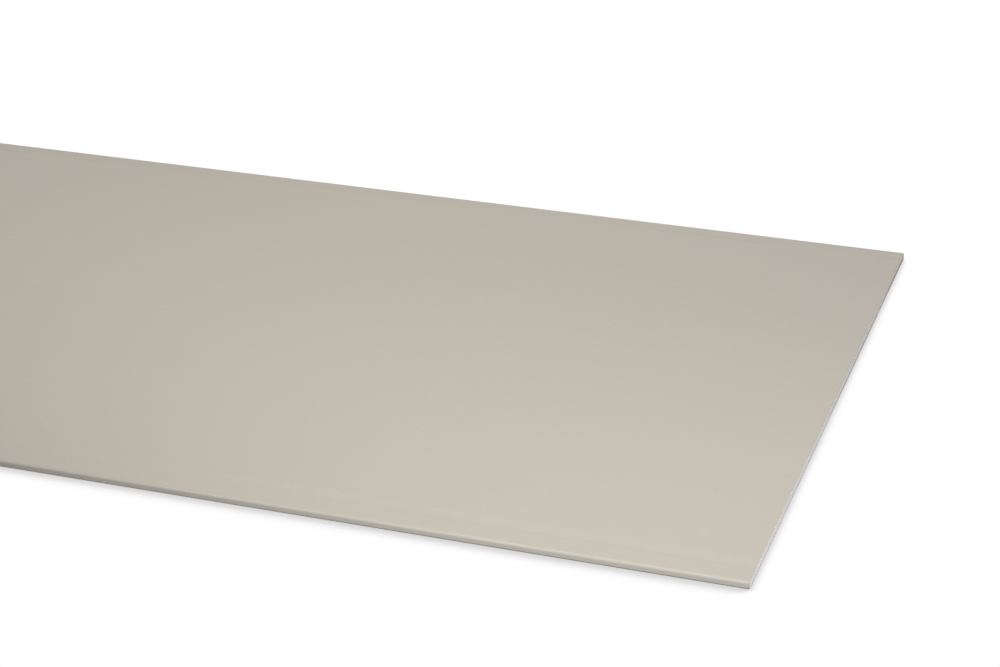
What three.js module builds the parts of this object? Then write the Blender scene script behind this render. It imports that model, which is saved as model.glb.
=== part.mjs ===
// Drywall sheet: a plain gypsum board, lying flat with its face up.
//
// The sheet is made as one continuous line of board and then sawn to length, so every piece of it
// is one cross-section run straight along the sheet. Three pieces make the section:
//
//   face_paper   one strip of heavy paper: it covers the face, follows the tapered margins, wraps
//                both long edges and is folded in under the board as a flap along each edge
//   gypsum_core  the cast gypsum between the papers, pressed thinner over the two flaps
//   back_paper   the flat lower paper, glued over the inner part of both flaps
//
// Millimetres, +Z up. X runs along the sheet and Y across it. The origin is on the floor, under the
// middle of the sheet.

import * as THREE from "three";

// ---- driving dimensions -------------------------------------------------------------------------

const sheetLength = 2400; // between the two sawn ends
const sheetWidth = 1200; // over the papered long edges
const sheetThickness = 12.5; // in the field, papers included
const paperThickness = 0.4; // both papers

const taperWidth = 60; // margin beside each long edge that is pressed down for the joint tape
const taperDepth = 1.8; // how far the face lies below the field at the edge
const shoulderRadius = 320; // soft bend where the field turns into the taper
const arrisRadius = 4; // rounded corner between the taper and the edge, on the paper
const foldRadius = 0.8; // inside the fold, where the paper turns under the board

const flapWidth = 25; // face paper folded in under the board, measured from the edge
const backPaperInset = 10; // bare margin of flap between the edge and the back paper

const segmentsPerBend = 12; // facets on each rounded bend of the section

// ---- derived places -----------------------------------------------------------------------------

const edgeY = sheetWidth / 2;
const taperStartY = edgeY - taperWidth;
const taperAngle = Math.atan2(taperDepth, taperWidth);
const flapUnderside = paperThickness; // the flaps lie on the back paper
const flapEndY = edgeY - flapWidth;
const backPaperEdgeY = edgeY - backPaperInset;

// Height of the taper's flat at a distance y from the middle of the sheet.
function taperHeight(y) {
  return sheetThickness - (y - taperStartY) * Math.tan(taperAngle);
}

// ---- the section --------------------------------------------------------------------------------

// One side of the wrap, from the shoulder of the taper, round the arris and the fold, to the end of
// the flap. `depth` is how far below the paper's outer surface the line runs: 0 is the surface
// itself and paperThickness is where the paper meets the gypsum. The bends stay concentric.
function wrapLine(depth) {
  const upright = Math.PI / 2;
  const line = new THREE.Path();

  const shoulderY = taperStartY - shoulderRadius * Math.tan(taperAngle / 2);
  const shoulderZ = sheetThickness - shoulderRadius;
  line.absarc(shoulderY, shoulderZ, shoulderRadius - depth, upright, upright - taperAngle, true);

  const arrisY = edgeY - arrisRadius;
  const arrisZ = taperHeight(arrisY) - arrisRadius / Math.cos(taperAngle);
  line.absarc(arrisY, arrisZ, arrisRadius - depth, upright - taperAngle, 0, true);

  const foldCentre = foldRadius + paperThickness;
  const foldY = edgeY - foldCentre;
  const foldZ = flapUnderside + foldCentre;
  line.absarc(foldY, foldZ, foldCentre - depth, 0, -upright, true);

  line.lineTo(flapEndY, flapUnderside + depth);
  return line.getPoints(segmentsPerBend / 2); // a path cuts an arc into twice the number it is given
}

// The same line mirrored to the other long edge, run from its flap back up to its shoulder.
function mirrored(points) {
  return points.map((p) => new THREE.Vector2(-p.x, p.y)).reverse();
}

const outerLine = wrapLine(0);
const innerLine = wrapLine(paperThickness);
const paperOutside = [...mirrored(outerLine), ...outerLine];
const paperInside = [...mirrored(innerLine), ...innerLine];

function facePaperSection() {
  return new THREE.Shape([...paperOutside, ...paperInside.slice().reverse()]);
}

function coreSection() {
  const bottom = [
    new THREE.Vector2(flapEndY, flapUnderside),
    new THREE.Vector2(-flapEndY, flapUnderside),
  ];
  return new THREE.Shape([...paperInside, ...bottom]);
}

function backPaperSection() {
  return new THREE.Shape([
    new THREE.Vector2(-backPaperEdgeY, 0),
    new THREE.Vector2(backPaperEdgeY, 0),
    new THREE.Vector2(backPaperEdgeY, paperThickness),
    new THREE.Vector2(-backPaperEdgeY, paperThickness),
  ]);
}

// ---- materials ----------------------------------------------------------------------------------

const facePaper = new THREE.MeshStandardMaterial({ color: 0xc6bfb2, roughness: 0.8, metalness: 0 });
const gypsum = new THREE.MeshStandardMaterial({ color: 0xd6d5d1, roughness: 0.95, metalness: 0 });
const backPaper = new THREE.MeshStandardMaterial({ color: 0xa89f92, roughness: 0.9, metalness: 0 });

// ---- the pieces ---------------------------------------------------------------------------------

// Runs a section along the whole sheet. Sections are drawn across the sheet, so their x and y
// become Y and Z, and the run becomes X.
function runAlongSheet(name, section, material) {
  const geometry = new THREE.ExtrudeGeometry(section, { depth: sheetLength, bevelEnabled: false });
  const across = new THREE.Vector3(0, 1, 0);
  const up = new THREE.Vector3(0, 0, 1);
  const along = new THREE.Vector3(1, 0, 0);
  geometry.applyMatrix4(new THREE.Matrix4().makeBasis(across, up, along));
  const piece = new THREE.Mesh(geometry, material);
  piece.name = name;
  piece.position.x = -sheetLength / 2;
  return piece;
}

const sheet = new THREE.Group();
sheet.add(runAlongSheet("back_paper", backPaperSection(), backPaper));
sheet.add(runAlongSheet("gypsum_core", coreSection(), gypsum));
sheet.add(runAlongSheet("face_paper", facePaperSection(), facePaper));

export default sheet;
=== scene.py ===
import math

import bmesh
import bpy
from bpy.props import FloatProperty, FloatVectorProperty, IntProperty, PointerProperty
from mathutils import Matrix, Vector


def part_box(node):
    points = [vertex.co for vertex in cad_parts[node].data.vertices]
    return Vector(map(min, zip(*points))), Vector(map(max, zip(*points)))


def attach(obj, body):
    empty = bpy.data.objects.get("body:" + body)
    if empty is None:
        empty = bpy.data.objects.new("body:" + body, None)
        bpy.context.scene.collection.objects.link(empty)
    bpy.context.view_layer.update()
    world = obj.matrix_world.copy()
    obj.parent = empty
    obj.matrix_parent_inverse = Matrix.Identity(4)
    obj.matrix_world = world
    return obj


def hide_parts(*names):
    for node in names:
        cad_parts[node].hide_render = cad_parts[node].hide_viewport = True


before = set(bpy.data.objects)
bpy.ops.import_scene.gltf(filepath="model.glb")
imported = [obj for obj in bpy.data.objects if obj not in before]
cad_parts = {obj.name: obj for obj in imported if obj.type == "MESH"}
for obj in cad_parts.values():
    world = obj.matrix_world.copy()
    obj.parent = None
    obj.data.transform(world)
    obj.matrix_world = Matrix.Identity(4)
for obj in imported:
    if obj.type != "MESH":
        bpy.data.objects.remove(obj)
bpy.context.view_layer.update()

# Drywall sheet: the looks of a gypsum board that lies flat with its face up.
#
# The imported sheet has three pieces, and each is made again here from its own solid:
#
#   face_paper    heavy cream paper over the face and round both long edges, with the band that the
#                 forming tape presses into each tapered margin and the frayed cut at both ends
#   gypsum_core   the cast gypsum, with its two sawn ends: crumbly, pitted and scored by the saw
#   back_paper    coarser grey paper under the sheet, glued over the flaps of the face paper
#
# Metres, +Z up. X runs along the sheet and Y across it.

bl_info = {
    "name": "Drywall Sheet",
    "version": (1, 0, 0),
    "blender": (4, 5, 0),
    "location": "View3D > Sidebar > Drywall",
    "description": "Makes the face paper, gypsum core and back paper of a drywall sheet",
    "category": "Object",
}

MM = 0.001

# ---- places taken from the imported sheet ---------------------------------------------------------

_, paper_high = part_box("face_paper")
core_low, core_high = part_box("gypsum_core")
back_low, back_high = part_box("back_paper")

END_X = paper_high.x  # the sawn ends stand at plus and minus this
EDGE_Y = paper_high.y  # the papered long edges stand at plus and minus this
FACE_Z = paper_high.z  # the field of the face
CORE_EDGE_Y = core_high.y  # the gypsum's own long edges, inside the paper

WELD = 0.002 * MM  # points closer than this are one point
SAME_PLACE = 0.01 * MM  # how near a point has to be to count as on a line or plane
FLAT_ANGLE = math.radians(0.02)  # faces that differ by less lie in one flat


# ---- settings a user would change ---------------------------------------------------------------


def colour_setting(name, description, default):
    """A colour, as its red, green and blue in linear light."""
    return FloatVectorProperty(
        name=name, description=description, default=default, size=3, subtype="COLOR", min=0, max=1
    )


def length_setting(name, description, default):
    """A length in metres."""
    return FloatProperty(
        name=name,
        description=description,
        default=default,
        min=0,
        precision=6,
        subtype="DISTANCE",
        unit="LENGTH",
    )


def share_setting(name, description, default):
    """A share from 0 to 1."""
    return FloatProperty(
        name=name, description=description, default=default, min=0, max=1, subtype="FACTOR"
    )


class FacePaperLook(bpy.types.PropertyGroup):
    """The face paper's colours, finish and relief"""

    colour: colour_setting("Paper", "Cream outer ply of the face paper", (0.52, 0.481, 0.415))
    ply_colour: colour_setting("Inner plies", "Recycled plies seen in the cut", (0.46, 0.42, 0.35))
    speck_colour: colour_setting("Specks", "Dark flecks in the paper", (0.2, 0.17, 0.13))
    # painted highlight round the top of the long edges, partly paper rubbed lighter by handling
    highlight_rub_colour: colour_setting("Rubbed edge", "Paper polished by handling", (0.585, 0.55, 0.487))
    bruise_colour: colour_setting("Bruise", "Paper crushed beside the saw cut", (0.4, 0.335, 0.27))
    roughness: share_setting("Roughness", "Calendered but matte", 0.82)
    pressed_depth: length_setting(
        "Pressed band", "How deep the forming tape presses into each tapered margin", 0.2 * MM
    )
    cockle: length_setting("Cockle", "Slow waves in the face of the sheet", 0.12 * MM)
    fray: length_setting("Fray", "How ragged the saw leaves the paper at the ends", 0.16 * MM)


class GypsumLook(bpy.types.PropertyGroup):
    """The gypsum's colours, and the wear and fineness of its sawn ends"""

    colour: colour_setting("Gypsum", "Sawn gypsum", (0.675, 0.671, 0.647))
    pore_colour: colour_setting("Pores", "Shaded air bubbles in the cast", (0.46, 0.45, 0.425))
    fibre_colour: colour_setting("Paper dust", "Brown dust that the saw smears in", (0.53, 0.47, 0.38))
    # painted shade along the foot of the sawn end, darkest towards the far corner
    foot_shade_colour: colour_setting("Foot of the cut", "Crushed lower edge", (0.25, 0.24, 0.215))
    roughness: share_setting("Roughness", "Dry and chalky", 0.95)
    crumble: length_setting("Crumble", "Depth of the grain of the sawn ends", 0.1 * MM)
    pits: length_setting("Pits", "Depth of the open air bubbles", 0.35 * MM)
    cell: length_setting("Cell", "Size of the mesh cells on the sawn ends", 3.0 * MM)
    cell_cuts: IntProperty(
        name="Cell cuts", description="Cuts that make the fine grid of each cell", default=3, min=0
    )


class BackPaperLook(bpy.types.PropertyGroup):
    """The back paper's colours, finish and frayed ends"""

    colour: colour_setting("Paper", "Grey recycled back paper", (0.381, 0.343, 0.287))
    ply_colour: colour_setting("Inner plies", "Recycled plies seen in the cut", (0.3, 0.265, 0.21))
    speck_colour: colour_setting("Specks", "Dark flecks in the paper", (0.12, 0.1, 0.08))
    roughness: share_setting("Roughness", "Open, unsized paper", 0.92)
    fray: length_setting("Fray", "How ragged the saw leaves the paper at the ends", 0.16 * MM)


class StageLook(bpy.types.PropertyGroup):
    """The strength of the lights and the reach of the soft shadow"""

    lamp_level: FloatProperty(
        name="Lamp level", description="Multiplies the power of every lamp", default=1.0, min=0
    )
    sky_level: FloatProperty(
        name="Sky level", description="Even light from all round", default=0.12, min=0
    )
    shadow_reach: length_setting("Shadow reach", "Width of the soft shadow", 60 * MM)
    shadow_lean: FloatProperty(
        name="Shadow lean",
        description="How far the soft shadow leans to the front",
        default=math.radians(55),
        subtype="ANGLE",
        unit="ROTATION",
    )


# ---- mesh helpers -------------------------------------------------------------------------------

AXES = {"X": 0, "Y": 1, "Z": 2}
ACROSS = 0.98  # least share of its length that an edge across the sheet has along Y
ENDWARD = 0.9  # least X of the normal of a face that closes a sawn end
PIT_FLOOR = 0.35  # share of a pit's radius that lies at its full depth
SAW_WANDER = 0.2 * MM  # how far the saw's cut strays, the same on all three pieces
SAW_WAVE = 120 * MM  # the length over which it strays and comes back


def make_active(piece):
    """Selects the piece alone and makes it the active one."""
    bpy.ops.object.select_all(action="DESELECT")
    piece.select_set(True)
    bpy.context.view_layer.objects.active = piece


def begin_piece(node, name):
    """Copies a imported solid, welds its loose triangles, makes each flat one face, and opens it."""
    piece = bpy.data.objects.new(name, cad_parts[node].data.copy())
    piece.data.name = name
    bpy.context.scene.collection.objects.link(piece)
    make_active(piece)
    bpy.ops.mesh.customdata_custom_splitnormals_clear()
    bpy.ops.object.mode_set(mode="EDIT")
    bpy.ops.mesh.select_mode(type="FACE")
    bpy.ops.mesh.select_all(action="SELECT")
    bpy.ops.mesh.remove_doubles(threshold=WELD)
    bpy.ops.mesh.dissolve_limited(angle_limit=FLAT_ANGLE)
    return piece


def select_only(piece, kind, wanted):
    """Selects the faces, edges or verts for which wanted is true. The mesh is in edit mode."""
    bpy.ops.mesh.select_all(action="DESELECT")
    mesh = bmesh.from_edit_mesh(piece.data)
    mesh.normal_update()
    for element in getattr(mesh, kind):
        if wanted(element):
            element.select_set(True)
    bmesh.update_edit_mesh(piece.data, loop_triangles=False, destructive=False)


def cut(piece, axis, places, wanted=None):
    """Cuts the wanted faces, or all of them, with a plane across the axis at each place."""
    normal = [0.0, 0.0, 0.0]
    normal[AXES[axis]] = 1.0
    for place in places:
        if wanted:
            select_only(piece, "faces", wanted)
        else:
            bpy.ops.mesh.select_all(action="SELECT")
        point = [place * n for n in normal]
        bpy.ops.mesh.bisect(plane_co=point, plane_no=normal, threshold=SAME_PLACE)


def split_across(piece, cuts, wanted):
    """Splits the wanted edges that run across the sheet into equal parts, and their faces too."""
    bpy.ops.mesh.select_mode(type="EDGE")

    def runs_across(edge):
        step = edge.verts[1].co - edge.verts[0].co
        return abs(step.y) > ACROSS * step.length and wanted(edge)

    select_only(piece, "edges", runs_across)
    bpy.ops.mesh.subdivide(number_cuts=cuts)
    bpy.ops.mesh.select_mode(type="FACE")


def steps(low, high, step):
    """Even places from low to high, both left out, about a step apart."""
    count = max(1, round((high - low) / step))
    return [low + (high - low) * k / count for k in range(1, count)]


def end_points(piece, side):
    """The points of one sawn end: side is 1 for the right end and -1 for the left."""
    return [v.index for v in piece.data.vertices if v.co.x * side > END_X - SAME_PLACE]


def is_end_face(face):
    """True for the faces that close the sawn ends."""
    return abs(face.normal.x) > ENDWARD and abs(face.calc_center_median().x) > END_X - SAME_PLACE


def at_end(edge):
    """True for an edge that lies in the plane of a sawn end."""
    return all(abs(v.co.x) > END_X - SAME_PLACE for v in edge.verts)


def weigh(piece, name, weights):
    """Adds a vertex group from a dict of point to weight."""
    group = piece.vertex_groups.new(name=name)
    for index, weight in weights.items():
        group.add([index], weight, "REPLACE")


def cloud_texture(name, size, depth=2):
    """Smooth clouds of a size in metres; more depth adds finer ones."""
    texture = bpy.data.textures.new(name, "CLOUDS")
    texture.noise_scale = size
    texture.noise_depth = depth
    return texture


def pit_texture(name, spacing, share):
    """Round pits, one to each spacing, that fill about a share of it."""
    texture = bpy.data.textures.new(name, "VORONOI")
    texture.noise_scale = spacing
    texture.use_color_ramp = True
    ramp = texture.color_ramp
    ramp.elements[0].position = PIT_FLOOR * share
    ramp.elements[0].color = (1, 1, 1, 1)
    ramp.elements[1].position = share
    ramp.elements[1].color = (0, 0, 0, 1)
    return texture


def press(piece, group, axis, strength, texture):
    """Moves a group of points along an axis, by the texture's value times strength."""
    if not strength:
        return  # a modifier that does nothing can't be applied
    modifier = piece.modifiers.new(texture.name, "DISPLACE")
    modifier.texture = texture
    modifier.texture_coords = "LOCAL"
    modifier.direction = axis
    modifier.mid_level = 0.0
    modifier.strength = strength
    modifier.vertex_group = group
    bpy.ops.object.modifier_apply(modifier=modifier.name)


def press_ends(piece, layers):
    """Wears both sawn ends inwards. Each layer is a depth and a texture."""
    layers = [(SAW_WANDER, cloud_texture("saw wander", SAW_WAVE, depth=1)), *layers]
    for name, side in (("end right", 1), ("end left", -1)):
        weigh(piece, name, {index: 1.0 for index in end_points(piece, side)})
    for name, side in (("end right", 1), ("end left", -1)):
        for depth, texture in layers:
            press(piece, name, "X", -side * depth, texture)


def finish_piece(piece, node, materials, smooth_angle):
    """Finishes the piece: clears its vertex groups, shades it smooth by angle, gives it its materials,
    hangs it under the root body and hides the imported part it stands for.
    """
    piece.vertex_groups.clear()
    bpy.ops.object.shade_smooth_by_angle(angle=smooth_angle)
    piece.data.materials.clear()
    for material in materials:
        piece.data.materials.append(material)
    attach(piece, "root")
    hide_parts(node)


# ---- material helpers ---------------------------------------------------------------------------

MIX_FACTOR, MIX_FIRST, MIX_SECOND = 0, 6, 7  # a Mix node's inputs for colours
MIX_RESULT = 2  # and its output
NOISE_MIDDLE = 0.5  # the level that a noise swings about
HAIR_BREAKS = (0.58, 0.66)  # the levels of the noise that breaks the hairs up
HAIR_BREAK_SCALE = 0.8  # its scale against that of the hairs
CUT_SPECULAR = 0.15  # gloss of what the saw leaves


def add(tree, kind, settings=None, **inputs):
    """Adds a node. An input takes a number, a colour or another node's output."""
    node = tree.nodes.new(kind)
    for name, value in (settings or {}).items():
        setattr(node, name, value)
    for name, value in inputs.items():
        plug(tree, node.inputs[name.replace("_", " ")], value)
    return node


def plug(tree, socket, value):
    """Links an output to the socket, or sets the socket to a plain value."""
    if isinstance(value, bpy.types.NodeSocket):
        tree.links.new(value, socket)
    else:
        socket.default_value = value


def calculate(tree, operation, *values):
    """A Math node's result."""
    node = tree.nodes.new("ShaderNodeMath")
    node.operation = operation
    for socket, value in zip(node.inputs, values):
        plug(tree, socket, value)
    return node.outputs[0]


def ramp_between(tree, value, low, high, from_value=0.0, to_value=1.0):
    """Runs smoothly from from_value to to_value while the value runs from low to high."""
    node = add(
        tree,
        "ShaderNodeMapRange",
        {"interpolation_type": "SMOOTHSTEP"},
        Value=value,
        From_Min=low,
        From_Max=high,
        To_Min=from_value,
        To_Max=to_value,
    )
    return node.outputs["Result"]


def new_material(name):
    """An empty material: its node tree, its shader and its object coordinates in metres."""
    material = bpy.data.materials.new(name)
    material.use_nodes = True
    tree = material.node_tree
    shader = tree.nodes["Principled BSDF"]
    place = tree.nodes.new("ShaderNodeTexCoord").outputs["Object"]
    return material, tree, shader, place


def stretched(tree, place, scale, turn=(0, 0, 0)):
    """Coordinates scaled on each axis, to draw a pattern out along the smallest scale."""
    node = add(tree, "ShaderNodeMapping", Vector=place, Scale=scale, Rotation=turn)
    return node.outputs["Vector"]


def noise(tree, place, scale, detail=2.0):
    """A noise from 0 to 1, at scale cells to the metre."""
    node = add(tree, "ShaderNodeTexNoise", Vector=place, Scale=scale, Detail=detail)
    return node.outputs["Fac"]


def spots(tree, place, scale, radius, softness=0.5):
    """1 inside round spots of the radius, in metres, scattered at scale cells to the metre."""
    node = add(tree, "ShaderNodeTexVoronoi", Vector=place, Scale=scale)
    size = radius * scale
    return ramp_between(tree, node.outputs["Distance"], size * (1 - softness), size, 1.0, 0.0)


def hairs(tree, place, scale, width):
    """1 on short curled hairs: thin level lines of one noise, broken up by another."""
    offset = calculate(tree, "SUBTRACT", noise(tree, place, scale), NOISE_MIDDLE)
    thin = ramp_between(tree, calculate(tree, "ABSOLUTE", offset), 0.0, width, 1.0, 0.0)
    breaks = noise(tree, place, scale * HAIR_BREAK_SCALE, detail=0.0)
    broken = ramp_between(tree, breaks, *HAIR_BREAKS)
    return calculate(tree, "MULTIPLY", thin, broken)


def tone(tree, layers):
    """1, made lighter and darker by each layer: a pattern from 0 to 1 and its full swing."""
    total = 1.0 - sum(swing for _, swing in layers) / 2
    for pattern, swing in layers:
        total = calculate(tree, "MULTIPLY_ADD", pattern, swing, total)
    return total


def toned(tree, colour, factor):
    """The colour times the factor."""
    if not isinstance(colour, bpy.types.NodeSocket):
        colour = tuple(colour)
    node = add(tree, "ShaderNodeVectorMath", {"operation": "SCALE"}, Vector=colour, Scale=factor)
    return node.outputs["Vector"]


def blended(tree, factor, first, second):
    """The first colour, going over to the second as the factor goes to 1."""
    node = tree.nodes.new("ShaderNodeMix")
    node.data_type = "RGBA"
    plug(tree, node.inputs[MIX_FACTOR], factor)
    for index, colour in ((MIX_FIRST, first), (MIX_SECOND, second)):
        if not isinstance(colour, bpy.types.NodeSocket):
            colour = (*colour, 1.0)
        plug(tree, node.inputs[index], colour)
    return node.outputs[MIX_RESULT]


def bumped(tree, shader, height, depth, strength):
    """Gives the shader a relief that is depth metres deep where the height goes from 0 to 1."""
    node = add(tree, "ShaderNodeBump", Height=height, Distance=depth, Strength=strength)
    tree.links.new(node.outputs["Normal"], shader.inputs["Normal"])


# ---- face paper ---------------------------------------------------------------------------------

# The band that the forming tape presses into each tapered margin, as (distance in from the long
# edge, share of its full depth).
PRESSED_BAND = [
    (30.0 * MM, 0.0),
    (31.0 * MM, 0.2),
    (32.2 * MM, 0.8),
    (33.5 * MM, 1.0),
    (44.0 * MM, 0.85),
    (53.5 * MM, 1.0),
    (55.0 * MM, 0.9),
    (57.0 * MM, 0.45),
    (59.0 * MM, 0.08),
    (60.5 * MM, 0.0),
]
BAND_CLOUDS = 0.4  # size of the clouds that vary the band's depth
TAPER_WIDTH = 60 * MM
TAPER_SLOPE = 0.03
TAPER_DEPTH = 2.05 * MM  # all of the taper's upper side lies less than this below the field
HALF_PAPER = 0.2 * MM  # half the paper's thickness

COCKLE_FADE = (75 * MM, 160 * MM)  # the waves of the face grow between these distances from an edge
COCKLE_CLOUDS = 0.16  # size of the waves

PAPER_GRID = 30 * MM  # width of the cells of a paper
FACE_CELL = 2 * PAPER_GRID  # length of the cells of the face paper
BACK_CELL = 4 * PAPER_GRID  # and of the back paper
FIELD_INSET = 66 * MM  # the face's cells start this far in from the long edges
FRAY_STEP = 1.0 * MM  # spacing of the points along the cut edge of a paper
FACE_FRAY_SIZE = 2.2 * MM  # size of the tufts of the frayed cut
BACK_FRAY_SIZE = 2.6 * MM
END_STRIPS = (1.2 * MM, 8 * MM)  # lines cut across the sheet beside each end
CUT_FACING = 0.6  # least X of the normal of a face of a cut edge
PAPER_SMOOTH_ANGLE = math.radians(40)

# Patterns of both papers' pulp, as (cells to the metre, detail, swing in brightness).
PULP_CLOUDS = [(9, 2.0, 0.020), (70, 3.0, 0.018), (290, 2.0, 0.085), (480, 2.0, 0.060)]
PULP_STREAKS = [((2.2, 170, 170), 3.0, 0.022), ((18, 620, 620), 2.0, 0.030)]
PULP_FIBRES = (1300, 4.0)  # cells to the metre, detail
PULP_HAIRS = (420, 0.012)  # cells to the metre, width
HAIR_SHADE = 0.72  # a dark hair's brightness against the paper's
HAIR_RELIEF = 0.6  # how far a hair stands out, against the fibres
ROUGHNESS_SWING = 0.12
PAPER_SPECULAR = 0.2
PAPER_RELIEF = 0.5  # strength of its bumps

# The swing in brightness of a paper's fibres, its share of dark hairs, its specks to the metre and
# their radius, and the depth of its relief.
FACE_PULP = {
    "fibre_swing": 0.06,
    "hair_share": 0.25,
    "speck_scale": 40,
    "speck_radius": 0.5 * MM,
    "bump": 0.03 * MM,
}
BACK_PULP = {
    "fibre_swing": 0.16,
    "hair_share": 0.7,
    "speck_scale": 120,
    "speck_radius": 0.8 * MM,
    "bump": 0.05 * MM,
}

# Painted shade and sheen in the tapered margins: a darker crease line and a lighter band, standing for
# how light falls on the taper's bends. Each pair of distances in from the long edge is where a tone
# comes in or goes out.
CREASE_SHADE_BAND = ((30 * MM, 34 * MM), (36 * MM, 40 * MM))
CREASE_SHADE_TONE = -0.016
SHEEN = ((39 * MM, 43 * MM), (58 * MM, 64 * MM))
SHEEN_TONE = 0.012
MARGIN_PATCHES = (1.6, 5, 5)  # patches to the metre on each axis
MARGIN_PATCH_LEVELS = (0.35, 0.6)

# Painted highlight round the top of the long edges, which also stands for paper rubbed lighter by
# handling. Here and below a ramp is (from, to), or (from, to, value before, value after) where it
# doesn't go from 0 to 1.
HIGHLIGHT_RUB_INSET = (0.3 * MM, 3.2 * MM, 1.0, 0.0)  # by the distance in from the long edge
HIGHLIGHT_RUB_HEIGHT = (5.2 * MM, 7.6 * MM)  # by the height
HIGHLIGHT_RUB_CORNER = (2.0 * MM, 6.0 * MM, 1.8 * MM, 0.0)  # how much lower it starts near a sawn end
HIGHLIGHT_RUB_PATCHES = (12, 160, 160)  # patches to the metre on each axis
HIGHLIGHT_RUB_PATCH_LEVELS = (0.3, 0.6, 0.7, 1.0)

BRUISE_END = (0.2 * MM, 1.8 * MM, 1.0, 0.0)  # by the distance in from the sawn end
BRUISE_EDGE = (0.3 * MM, 2.0 * MM, 0.85, 0.03)  # by the distance in from the long edge

SCUFFS = (12, 2.2 * MM, 0.9)  # faint rubbed marks: cells to the metre, radius, softness
SCUFF_SHADE = 0.14

# The cut edges of the papers, as (cells to the metre, detail) with their swings in brightness.
PLIES = (900, 500, 9000)  # on each axis
PLY_DETAIL = 2.0
PLY_SWING = 0.35
FLUFF = (2600, 3.0)
FLUFF_SWING = 0.3
FLUFF_BUMP = (0.1 * MM, 0.6)  # depth and strength
CUT_ROUGHNESS = 0.95
PALE_CUT_COLOUR = (0.66, 0.65, 0.62)
BACK_CUT_PALER_FRONT = (-0.46, -0.32, 1.0, 0.0)  # how pale it makes the cut back paper by the place on Y, palest towards the front


def share_at(profile, distance):
    """Reads a profile of (distance, share) pairs, 0 outside it."""
    for (start, low), (stop, high) in zip(profile, profile[1:]):
        if start <= distance <= stop:
            return low + (high - low) * (distance - start) / (stop - start)
    return 0.0


def cut_papers_ends(piece):
    """Lines across the sheet beside its ends, and closely spaced points on the cut edges."""
    for inset in END_STRIPS:
        cut(piece, "X", (END_X - inset, inset - END_X))
    split_across(piece, round(PAPER_GRID / FRAY_STEP) - 1, at_end)


def is_upper_side(vertex, inset):
    """True for the paper's outer surface in the tapered margin, False for its glued inside."""
    taper_height = FACE_Z - max(0.0, TAPER_WIDTH - inset) * TAPER_SLOPE
    return vertex.co.z > taper_height - HALF_PAPER


def shape_face_paper(look):
    """The face paper with its cells, its pressed band, its cockle and its frayed ends."""
    piece = begin_piece("face_paper", "face_paper_sheet")
    for inset, _ in PRESSED_BAND:
        cut(piece, "Y", (EDGE_Y - inset, inset - EDGE_Y))
    cut(piece, "Y", steps(FIELD_INSET - EDGE_Y, EDGE_Y - FIELD_INSET, PAPER_GRID))
    cut(piece, "X", steps(-END_X, END_X, FACE_CELL))
    cut_papers_ends(piece)
    bpy.ops.object.mode_set(mode="OBJECT")

    band, cockle = {}, {}
    for vertex in piece.data.vertices:
        inset = EDGE_Y - abs(vertex.co.y)
        share = share_at(PRESSED_BAND, inset)
        if share and vertex.co.z > FACE_Z - TAPER_DEPTH and is_upper_side(vertex, inset):
            band[vertex.index] = share
        if vertex.co.z > FACE_Z - SAME_PLACE:
            reach = (inset - COCKLE_FADE[0]) / (COCKLE_FADE[1] - COCKLE_FADE[0])
            cockle[vertex.index] = min(1.0, max(0.0, reach))
    weigh(piece, "band", band)
    weigh(piece, "cockle", cockle)
    press(piece, "band", "Z", -look.pressed_depth, cloud_texture("band depth", BAND_CLOUDS))
    press(piece, "cockle", "Z", -look.cockle, cloud_texture("cockle", COCKLE_CLOUDS, depth=1))
    press_ends(piece, [(look.fray, cloud_texture("face paper fray", FACE_FRAY_SIZE))])
    return piece


def paper_base(tree, place, look, pulp):
    """Paper's colour, with clouds where the pulp lies thicker, streaks along its run and specks.

    The fibres and the curled hairs come back too, for its relief.
    """
    layers = [(noise(tree, place, scale, detail), swing) for scale, detail, swing in PULP_CLOUDS]
    for scale, detail, swing in PULP_STREAKS:
        layers.append((noise(tree, stretched(tree, place, scale), 1.0, detail), swing))
    fibres = noise(tree, place, *PULP_FIBRES)
    layers.append((fibres, pulp["fibre_swing"]))
    colour = toned(tree, look.colour, tone(tree, layers))
    curls = hairs(tree, place, *PULP_HAIRS)
    dark = [channel * HAIR_SHADE for channel in look.colour]
    colour = blended(tree, calculate(tree, "MULTIPLY", curls, pulp["hair_share"]), colour, dark)
    flecks = spots(tree, place, pulp["speck_scale"], pulp["speck_radius"])
    return blended(tree, flecks, colour, look.speck_colour), fibres, curls


def finish_paper(tree, shader, look, pulp, colour, fibres, curls):
    """Connects a paper's colour, and gives it its roughness and relief."""
    tree.links.new(colour, shader.inputs["Base Color"])
    least = look.roughness - ROUGHNESS_SWING / 2
    roughness = calculate(tree, "MULTIPLY_ADD", fibres, ROUGHNESS_SWING, least)
    tree.links.new(roughness, shader.inputs["Roughness"])
    shader.inputs["Specular IOR Level"].default_value = PAPER_SPECULAR
    height = calculate(tree, "MULTIPLY_ADD", curls, HAIR_RELIEF, fibres)
    bumped(tree, shader, height, pulp["bump"], PAPER_RELIEF)


def insets(tree, place):
    """How far a point lies in from the long edges and from the sawn ends, and its height."""
    split = add(tree, "ShaderNodeSeparateXYZ", Vector=place)
    found = []
    for axis, edge in (("Y", EDGE_Y), ("X", END_X)):
        distance = calculate(tree, "ABSOLUTE", split.outputs[axis])
        found.append(calculate(tree, "SUBTRACT", edge, distance))
    return found[0], found[1], split.outputs["Z"]


def band_mask(tree, value, rise, fall):
    """0, rising to 1 between the two values of rise, and falling again between those of fall."""
    risen = ramp_between(tree, value, *rise)
    left = ramp_between(tree, value, *fall, 1.0, 0.0)
    return calculate(tree, "MULTIPLY", risen, left)


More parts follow.
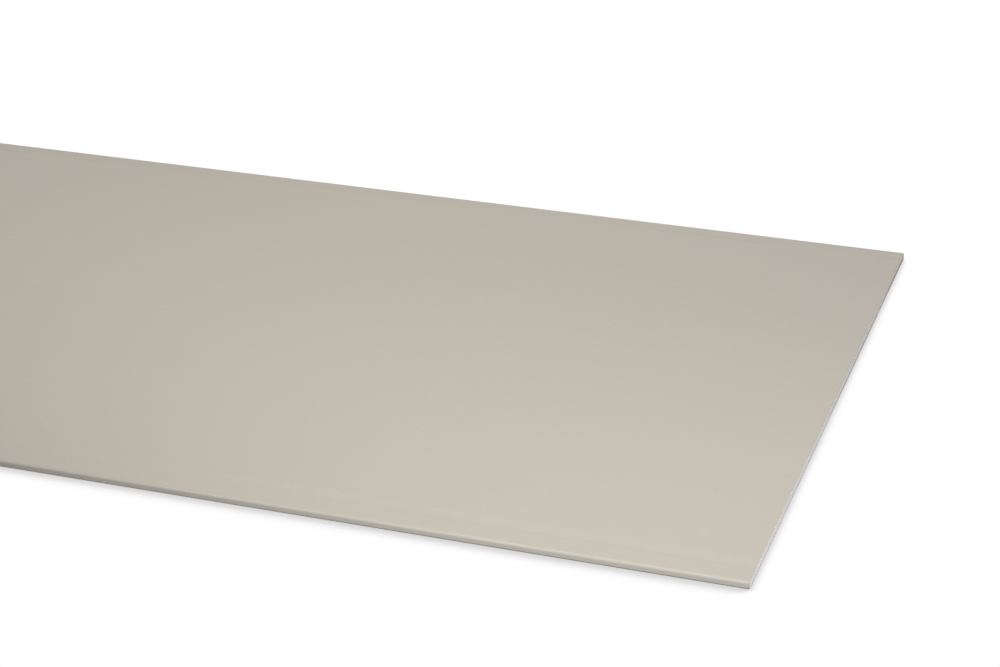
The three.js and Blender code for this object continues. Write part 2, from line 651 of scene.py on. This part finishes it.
def margin_shade_and_sheen(tree, place, edge_inset):
    """Painted shade along a crease line and a painted sheen beside it, in the tapered margins."""
    crease_shade = band_mask(tree, edge_inset, *CREASE_SHADE_BAND)
    sheen = band_mask(tree, edge_inset, *SHEEN)
    shift = calculate(tree, "MULTIPLY", crease_shade, CREASE_SHADE_TONE)
    shift = calculate(tree, "MULTIPLY_ADD", sheen, SHEEN_TONE, shift)
    patches = noise(tree, stretched(tree, place, MARGIN_PATCHES), 1.0)
    patchy = ramp_between(tree, patches, *MARGIN_PATCH_LEVELS)
    return calculate(tree, "MULTIPLY_ADD", shift, patchy, 1.0)


def highlight_rub_share(tree, place, edge_inset, end_inset, height):
    """How much painted highlight, partly paper rubbed by handling, lies round the top of the long
    edges, reaching lower at the corners.
    """
    corner = ramp_between(tree, end_inset, *HIGHLIGHT_RUB_CORNER)
    above = ramp_between(tree, calculate(tree, "ADD", height, corner), *HIGHLIGHT_RUB_HEIGHT)
    patches = noise(tree, stretched(tree, place, HIGHLIGHT_RUB_PATCHES), 1.0)
    worn = ramp_between(tree, patches, *HIGHLIGHT_RUB_PATCH_LEVELS)
    highlight_rub = ramp_between(tree, edge_inset, *HIGHLIGHT_RUB_INSET)
    return calculate(tree, "MULTIPLY", calculate(tree, "MULTIPLY", highlight_rub, above), worn)


def face_paper_material(look):
    """The face paper, with painted shade and sheen in its margins, a painted highlight round the top
    of the long edges that also stands for rubbed paper, and the bruise beside each cut.
    """
    material, tree, shader, place = new_material("face paper")
    colour, fibres, curls = paper_base(tree, place, look, FACE_PULP)
    edge_inset, end_inset, height = insets(tree, place)
    # painted crease shade and sheen in the tapered margins
    colour = toned(tree, colour, margin_shade_and_sheen(tree, place, edge_inset))

    # painted highlight round the top of the long edges, partly rubbed paper
    highlight_rub = highlight_rub_share(tree, place, edge_inset, end_inset, height)
    colour = blended(tree, highlight_rub, colour, look.highlight_rub_colour)

    scuffs = calculate(tree, "MULTIPLY", spots(tree, place, *SCUFFS), SCUFF_SHADE)
    colour = blended(tree, scuffs, colour, look.speck_colour)

    beside_cut = ramp_between(tree, end_inset, *BRUISE_END)
    beside_edge = ramp_between(tree, edge_inset, *BRUISE_EDGE)
    bruise = calculate(tree, "MULTIPLY", beside_cut, beside_edge)
    colour = blended(tree, bruise, colour, look.bruise_colour)

    finish_paper(tree, shader, look, FACE_PULP, colour, fibres, curls)
    return material


def back_paper_material(look):
    """The back paper: coarser and darker, with more hairs and specks."""
    material, tree, shader, place = new_material("back paper")
    colour, fibres, curls = paper_base(tree, place, look, BACK_PULP)
    finish_paper(tree, shader, look, BACK_PULP, colour, fibres, curls)
    return material


def cut_ply_material(name, look, paler_front=None):
    """The cut edge of a paper: darker recycled plies in layers, with loose fibres.

    Where a ramp across the sheet is given, it turns paler grey towards the front of the sheet.
    """
    material, tree, shader, place = new_material(name)
    plies = noise(tree, stretched(tree, place, PLIES), 1.0, PLY_DETAIL)
    fluff = noise(tree, place, *FLUFF)
    factor = tone(tree, [(plies, PLY_SWING), (fluff, FLUFF_SWING)])
    colour = toned(tree, look.ply_colour, factor)
    if paler_front:
        # paler grey towards the front of the sheet
        split = add(tree, "ShaderNodeSeparateXYZ", Vector=place)
        dust = ramp_between(tree, split.outputs["Y"], *paler_front)
        colour = blended(tree, dust, colour, PALE_CUT_COLOUR)
    tree.links.new(colour, shader.inputs["Base Color"])
    shader.inputs["Roughness"].default_value = CUT_ROUGHNESS
    shader.inputs["Specular IOR Level"].default_value = CUT_SPECULAR
    bumped(tree, shader, fluff, *FLUFF_BUMP)
    return material


def paint_cut_edges(piece):
    """Gives the faces of the two sawn ends the second material."""
    for face in piece.data.polygons:
        near_end = abs(face.center.x) > END_X - END_STRIPS[0] / 2
        face.material_index = 1 if near_end and abs(face.normal.x) > CUT_FACING else 0


class DRYWALL_OT_face_paper(bpy.types.Operator):
    """Makes the face paper, with its pressed margins and frayed ends"""

    bl_idname = "drywall.face_paper"
    bl_label = "Face Paper"

    def execute(self, context):
        look = context.scene.drywall_face_paper
        piece = shape_face_paper(look)
        outside = face_paper_material(look)
        cut_edge = cut_ply_material("face paper cut edge", look)
        finish_piece(piece, "face_paper", [outside, cut_edge], PAPER_SMOOTH_ANGLE)
        paint_cut_edges(piece)
        return {"FINISHED"}


# ---- gypsum core --------------------------------------------------------------------------------

EDGE_ZONE = 24 * MM  # width beside each long edge where only the sawn ends are cut into cells
END_DEPTH = 6 * MM  # the core's sides are cut across this far in from each end
FIELD_CELLS = 8  # cells of the sawn ends to one cell of the core's faces
CRUMBLE_CLOUDS = (1.8 * MM, 3)  # size and depth
AIR_BUBBLES = (6 * MM, 0.16)  # spacing, and the share of it that one fills
GYPSUM_SMOOTH_ANGLE = math.radians(50)

# The sawn gypsum's patterns, as (cells to the metre, detail) with their swings in brightness.
CRYSTALS = (1500, 4.0)
CRYSTAL_SWING = 0.10
CLUMPS = (180, 3.0)
CLUMP_SWING = 0.05
SAW_LINES = (60, 60, 1400)  # on each axis, before they are turned by the slant
SAW_SLANT = (math.radians(28), 0, 0)
SAW_DETAIL = 2.0
SAW_LINE_SWING = 0.06
PORES = (620, 0.34 * MM, 0.6)  # cells to the metre, radius, softness
PORE_SHADE = 0.5
SMEARS = (260, 2.0)
SMEAR_LEVELS = (0.66, 0.74)
SMEAR_SHADE = 0.3
PORE_RELIEF = -0.8  # height against the crystals
SAW_RELIEF = 0.6
GYPSUM_BUMP = (0.15 * MM, 0.5)  # depth and strength

FAR_CORNER_WARMTH = (1.0, 0.985, 0.87)  # what is left of the gypsum's red, green and blue where it is warmest
FAR_CORNER_WARMTH_SPAN = (0.1, 0.56)  # it comes in between these places on Y

# Painted shade along the foot of the sawn end, darkest towards the far corner.
FOOT_SHADE_HALF = (-0.12, 0.04, 0.0, 0.76)  # how grey it is by the place on Y, along the far half
FOOT_SHADE_CORNER = (0.36, 0.52)  # where on Y it grows greyer and higher, towards the far corner
FOOT_SHADE_HEIGHTS = (5.0 * MM, 9.0 * MM)  # its height before and after that
FOOT_SHADE_START = 0.4 * MM  # below this height it is at its greyest
FOOT_SHADE_PATCHES = (14, 1.0)  # cells to the metre, detail
FOOT_SHADE_PATCH_RAMP = (0.3, 0.5, 0.7, 1.0)


def shape_gypsum_core(look):
    """The core with its sawn ends cut into fine cells, crumbled and pitted."""
    piece = begin_piece("gypsum_core", "gypsum_core_cast")
    cut(piece, "X", (END_X - END_DEPTH, END_DEPTH - END_X))
    inner = CORE_EDGE_Y - EDGE_ZONE
    cut(piece, "Y", [-inner, *steps(-inner, inner, FIELD_CELLS * look.cell), inner])
    for side in (1, -1):
        places = steps(inner, CORE_EDGE_Y, look.cell)
        cut(piece, "Y", [side * place for place in places], is_end_face)
    cut(piece, "Z", steps(core_low.z, core_high.z, look.cell), is_end_face)

    def long_at_end(edge):
        return at_end(edge) and edge.calc_length() > FIELD_CELLS / 2 * look.cell

    split_across(piece, FIELD_CELLS - 1, long_at_end)
    if look.cell_cuts:
        select_only(piece, "faces", is_end_face)
        bpy.ops.mesh.subdivide(number_cuts=look.cell_cuts)
    bpy.ops.object.mode_set(mode="OBJECT")
    press_ends(
        piece,
        [
            (look.crumble, cloud_texture("crumble", *CRUMBLE_CLOUDS)),
            (look.pits, pit_texture("air bubbles", *AIR_BUBBLES)),
        ],
    )
    return piece


def painted_foot_shade(tree, place):
    """How strong the painted shade at the foot of the cut is: along the far half, and most at the far
    corner.
    """
    split = add(tree, "ShaderNodeSeparateXYZ", Vector=place)
    half = ramp_between(tree, split.outputs["Y"], *FOOT_SHADE_HALF)
    along = ramp_between(tree, split.outputs["Y"], *FOOT_SHADE_CORNER, half, 1.0)
    top = ramp_between(tree, split.outputs["Y"], *FOOT_SHADE_CORNER, *FOOT_SHADE_HEIGHTS)
    low = ramp_between(tree, split.outputs["Z"], FOOT_SHADE_START, top, 1.0, 0.0)
    patchy = ramp_between(tree, noise(tree, place, *FOOT_SHADE_PATCHES), *FOOT_SHADE_PATCH_RAMP)
    return calculate(tree, "MULTIPLY", calculate(tree, "MULTIPLY", low, along), patchy)


def warmed_towards_far_corner(tree, place, colour):
    """The colour, made warmer and a little darker towards the far corner."""
    node = add(tree, "ShaderNodeVectorMath", {"operation": "MULTIPLY"})
    tree.links.new(colour, node.inputs[0])
    node.inputs[1].default_value = FAR_CORNER_WARMTH
    split = add(tree, "ShaderNodeSeparateXYZ", Vector=place)
    amount = ramp_between(tree, split.outputs["Y"], *FAR_CORNER_WARMTH_SPAN)
    return blended(tree, amount, colour, node.outputs["Vector"])


def gypsum_material(look):
    """Sawn gypsum: fine crystals, air bubbles, saw lines and smears of paper dust, warmer towards the
    far corner, with painted shade along the foot of the cut.
    """
    material, tree, shader, place = new_material("sawn gypsum")
    crystals = noise(tree, place, *CRYSTALS)
    clumps = noise(tree, place, *CLUMPS)
    saw_lines = noise(tree, stretched(tree, place, SAW_LINES, SAW_SLANT), 1.0, SAW_DETAIL)
    pores = spots(tree, place, *PORES)
    layers = [(crystals, CRYSTAL_SWING), (clumps, CLUMP_SWING), (saw_lines, SAW_LINE_SWING)]
    colour = toned(tree, look.colour, tone(tree, layers))
    shaded = calculate(tree, "MULTIPLY", pores, PORE_SHADE)
    colour = blended(tree, shaded, colour, look.pore_colour)
    smears = ramp_between(tree, noise(tree, place, *SMEARS), *SMEAR_LEVELS)
    smeared = calculate(tree, "MULTIPLY", smears, SMEAR_SHADE)
    colour = blended(tree, smeared, colour, look.fibre_colour)
    colour = warmed_towards_far_corner(tree, place, colour)
    # painted shade along the foot of the cut
    colour = blended(tree, painted_foot_shade(tree, place), colour, look.foot_shade_colour)
    tree.links.new(colour, shader.inputs["Base Color"])
    shader.inputs["Roughness"].default_value = look.roughness
    shader.inputs["Specular IOR Level"].default_value = CUT_SPECULAR
    height = calculate(tree, "MULTIPLY_ADD", pores, PORE_RELIEF, crystals)
    height = calculate(tree, "MULTIPLY_ADD", saw_lines, SAW_RELIEF, height)
    bumped(tree, shader, height, *GYPSUM_BUMP)
    return material


class DRYWALL_OT_gypsum_core(bpy.types.Operator):
    """Makes the gypsum core, with its crumbly sawn ends"""

    bl_idname = "drywall.gypsum_core"
    bl_label = "Gypsum Core"

    def execute(self, context):
        look = context.scene.drywall_gypsum
        piece = shape_gypsum_core(look)
        finish_piece(piece, "gypsum_core", [gypsum_material(look)], GYPSUM_SMOOTH_ANGLE)
        return {"FINISHED"}


# ---- back paper ---------------------------------------------------------------------------------


def shape_back_paper(look):
    """The back paper with its cells and its frayed ends."""
    piece = begin_piece("back_paper", "back_paper_sheet")
    cut(piece, "Y", steps(back_low.y, back_high.y, PAPER_GRID))
    cut(piece, "X", steps(-END_X, END_X, BACK_CELL))
    cut_papers_ends(piece)
    bpy.ops.object.mode_set(mode="OBJECT")
    press_ends(piece, [(look.fray, cloud_texture("back paper fray", BACK_FRAY_SIZE))])
    return piece


class DRYWALL_OT_back_paper(bpy.types.Operator):
    """Makes the back paper, with its frayed ends"""

    bl_idname = "drywall.back_paper"
    bl_label = "Back Paper"

    def execute(self, context):
        look = context.scene.drywall_back_paper
        piece = shape_back_paper(look)
        outside = back_paper_material(look)
        cut_edge = cut_ply_material("back paper cut edge", look, BACK_CUT_PALER_FRONT)
        finish_piece(piece, "back_paper", [outside, cut_edge], PAPER_SMOOTH_ANGLE)
        paint_cut_edges(piece)
        return {"FINISHED"}


# ---- stage --------------------------------------------------------------------------------------

CAMERA_PLACE = (1.7742, -3.3954, 1.6738)
CAMERA_AZIMUTH = math.radians(18.3172)
CAMERA_ELEVATION = math.radians(24.603)
SENSOR_WIDTH = 36.0
LENS = 2.44913 * SENSOR_WIDTH
CAMERA_REACH = 100.0  # how far it sees

# Name, place, point it is aimed at, side in metres, power in watts, colour.
SOFT_LAMPS = [
    ("overhead lamp", (-1.0, -0.8, 3.5), (-1.0, -0.24, 0.0), 2.0, 81.0, (1.0, 1.0, 1.0)),
    ("right lamp", (3.2, -0.9, 0.7), (0.8, -0.3, 0.0), 0.8, 25.6, (0.99, 0.992, 1.0)),
    ("low lamp", (0.763, 1.881, 1.0), (0.0, 0.1, 0.0), 2.0, 11.4, (1.0, 1.0, 1.0)),
    ("left end fill", (-3.2, 0.3, 0.35), (-1.2, 0.0, 0.0), 0.6, 11.5, (1.0, 1.0, 1.0)),
]
# The same, but for the side: a spot has a radius and a cone.
SPOT_LAMP = ("front lamp", (1.143, -1.764, 1.564), (0.916, 0.6, 0.0), 109.5, (0.966, 0.973, 1.0))
SPOT_RADIUS = 0.2
SPOT_CONE = 1.324
SPOT_BLEND = 1.0  # the cone's whole width is its soft edge
FLOOR_SIZE = 60.0
FLOOR_GREY = 0.7  # what the floor throws back on to the sheet

# How white the floor shows, by the share of the sky that the sheet hides from it.
SOFT_SHADOW = [
    (0.165, 1.0),
    (0.18, 0.994),
    (0.2, 0.95),
    (0.24, 0.86),
    (0.3, 0.77),
    (0.35, 0.738),
    (0.4, 0.722),
    (0.48, 0.705),
    (0.6, 0.683),
    (0.72, 0.6),
    (0.84, 0.25),
]
SHADOW_SAMPLES = 24
# The same for the dark line where the sheet touches down, hidden from close by.
CONTACT_LINE = [(0.26, 1.0), (0.42, 0.62), (0.7, 0.4)]
CONTACT_REACH = 3 * MM
CONTACT_SAMPLES = 6


def hidden_share(tree, reach, samples, normal=None):
    """The share of the sky that something within reach hides from each point."""
    node = add(tree, "ShaderNodeAmbientOcclusion", {"samples": samples}, Distance=reach)
    if normal is not None:
        tree.links.new(normal, node.inputs["Normal"])
    return calculate(tree, "SUBTRACT", 1.0, node.outputs["AO"])


def grey_ramp(tree, value, stops):
    """Reads a grey from stops of (value, grey)."""
    node = tree.nodes.new("ShaderNodeValToRGB")
    plug(tree, node.inputs["Fac"], value)
    elements = node.color_ramp.elements
    while len(elements) < len(stops):
        elements.new(1.0)
    for element, (place, grey) in zip(elements, stops):
        element.position = place
        element.color = (grey, grey, grey, 1)
    return node.outputs["Color"]


def seen_directly(tree):
    """1 for what is seen directly, in a gloss or through glass, and 0 for light on its way."""
    path = tree.nodes.new("ShaderNodeLightPath")
    seen = calculate(tree, "MAXIMUM", path.outputs["Is Camera Ray"], path.outputs["Is Glossy Ray"])
    return calculate(tree, "MAXIMUM", seen, path.outputs["Is Transmission Ray"])


def floor_material(look):
    """A white floor that darkens softly where the sheet stands close over it."""
    material, tree, shader, _ = new_material("white floor")
    shader.inputs["Base Color"].default_value = (FLOOR_GREY, FLOOR_GREY, FLOOR_GREY, 1)
    shader.inputs["Roughness"].default_value = 1.0
    shader.inputs["Specular IOR Level"].default_value = 0.0
    lean = add(
        tree,
        "ShaderNodeCombineXYZ",
        Y=math.sin(look.shadow_lean),
        Z=math.cos(look.shadow_lean),
    )
    far_hidden = hidden_share(tree, look.shadow_reach, SHADOW_SAMPLES, lean.outputs["Vector"])
    near_hidden = hidden_share(tree, CONTACT_REACH, CONTACT_SAMPLES)
    soft = grey_ramp(tree, far_hidden, SOFT_SHADOW)
    line = grey_ramp(tree, near_hidden, CONTACT_LINE)
    white = add(tree, "ShaderNodeVectorMath", {"operation": "MULTIPLY"})
    tree.links.new(soft, white.inputs[0])
    tree.links.new(line, white.inputs[1])
    glow = add(tree, "ShaderNodeEmission", Color=white.outputs["Vector"], Strength=1.0)
    mix = add(tree, "ShaderNodeMixShader", Fac=seen_directly(tree))
    tree.links.new(shader.outputs["BSDF"], mix.inputs[1])
    tree.links.new(glow.outputs["Emission"], mix.inputs[2])
    tree.links.new(mix.outputs["Shader"], tree.nodes["Material Output"].inputs["Surface"])
    material.cycles.emission_sampling = "NONE"  # its glow is only for the eye, and is no lamp
    return material


def lay_floor(look):
    """A floor far wider than the sheet."""
    bpy.ops.object.select_all(action="DESELECT")
    bpy.ops.mesh.primitive_plane_add(size=FLOOR_SIZE, location=(0, 0, 0))
    floor = bpy.context.object
    floor.name = "floor"
    floor.data.materials.append(floor_material(look))


def light_world(look):
    """White surroundings to the eye, and a faint even light on the sheet."""
    world = bpy.data.worlds.new("white studio")
    bpy.context.scene.world = world
    world.use_nodes = True
    tree = world.node_tree
    background = tree.nodes["Background"]
    background.inputs["Color"].default_value = (1, 1, 1, 1)
    strength = calculate(tree, "MAXIMUM", seen_directly(tree), look.sky_level)
    tree.links.new(strength, background.inputs["Strength"])


def hang_lamp(kind, name, place, aim, power, colour):
    """Adds a lamp that can't be seen itself, aimed at a point."""
    bpy.ops.object.light_add(type=kind, location=place)
    lamp = bpy.context.object
    lamp.name = name
    lamp.data.energy = power
    lamp.data.color = colour
    lamp.visible_camera = False
    direction = Vector(aim) - Vector(place)
    lamp.rotation_euler = direction.to_track_quat("-Z", "Y").to_euler()
    return lamp


def hang_lamps(look):
    """The four soft lamps and the spot."""
    for name, place, aim, side, power, colour in SOFT_LAMPS:
        lamp = hang_lamp("AREA", name, place, aim, power * look.lamp_level, colour)
        lamp.data.size = side
    name, place, aim, power, colour = SPOT_LAMP
    lamp = hang_lamp("SPOT", name, place, aim, power * look.lamp_level, colour)
    lamp.data.shadow_soft_size = SPOT_RADIUS
    lamp.data.spot_size = SPOT_CONE
    lamp.data.spot_blend = SPOT_BLEND


def place_camera():
    """The camera looks down on the right part of the sheet from the front."""
    bpy.ops.object.camera_add(location=CAMERA_PLACE)
    camera = bpy.context.object
    camera.name = "camera"
    camera.data.sensor_width = SENSOR_WIDTH
    camera.data.lens = LENS
    camera.data.clip_end = CAMERA_REACH
    back = Vector(
        (
            math.sin(CAMERA_AZIMUTH) * math.cos(CAMERA_ELEVATION),
            -math.cos(CAMERA_AZIMUTH) * math.cos(CAMERA_ELEVATION),
            math.sin(CAMERA_ELEVATION),
        )
    )
    camera.rotation_mode = "QUATERNION"
    camera.rotation_quaternion = (-back).to_track_quat("-Z", "Y")
    bpy.context.scene.camera = camera


class DRYWALL_OT_stage(bpy.types.Operator):
    """Sets up the floor, the lamps, the white surroundings and the camera"""

    bl_idname = "drywall.stage"
    bl_label = "Stage"

    def execute(self, context):
        look = context.scene.drywall_stage
        lay_floor(look)
        light_world(look)
        hang_lamps(look)
        place_camera()
        context.scene.view_settings.view_transform = "Standard"
        return {"FINISHED"}


# ---- sidebar and registration -------------------------------------------------------------------

OPERATORS = (
    DRYWALL_OT_stage,
    DRYWALL_OT_back_paper,
    DRYWALL_OT_gypsum_core,
    DRYWALL_OT_face_paper,
)
LOOKS = {
    "drywall_face_paper": FacePaperLook,
    "drywall_gypsum": GypsumLook,
    "drywall_back_paper": BackPaperLook,
    "drywall_stage": StageLook,
}


class DRYWALL_PT_sheet(bpy.types.Panel):
    """Lists the steps that make the drywall sheet, and their settings"""

    bl_idname = "DRYWALL_PT_sheet"
    bl_label = "Drywall Sheet"
    bl_space_type = "VIEW_3D"
    bl_region_type = "UI"
    bl_category = "Drywall"

    def draw(self, context):
        for operator in OPERATORS:
            self.layout.operator(operator.bl_idname)
        for name, look_class in LOOKS.items():
            box = self.layout.box()
            box.label(text=name.replace("_", " ").capitalize())
            for setting in look_class.__annotations__:
                box.prop(getattr(context.scene, name), setting)


CLASSES = (*LOOKS.values(), *OPERATORS, DRYWALL_PT_sheet)


def register():
    for cls in CLASSES:
        bpy.utils.register_class(cls)
    for name, look_class in LOOKS.items():
        setattr(bpy.types.Scene, name, PointerProperty(type=look_class))


def unregister():
    for name in LOOKS:
        delattr(bpy.types.Scene, name)
    for cls in reversed(CLASSES):
        bpy.utils.unregister_class(cls)


def main():
    register()
    bpy.ops.drywall.stage()
    bpy.ops.drywall.back_paper()
    bpy.ops.drywall.gypsum_core()
    bpy.ops.drywall.face_paper()


if __name__ == "__main__":
    main()
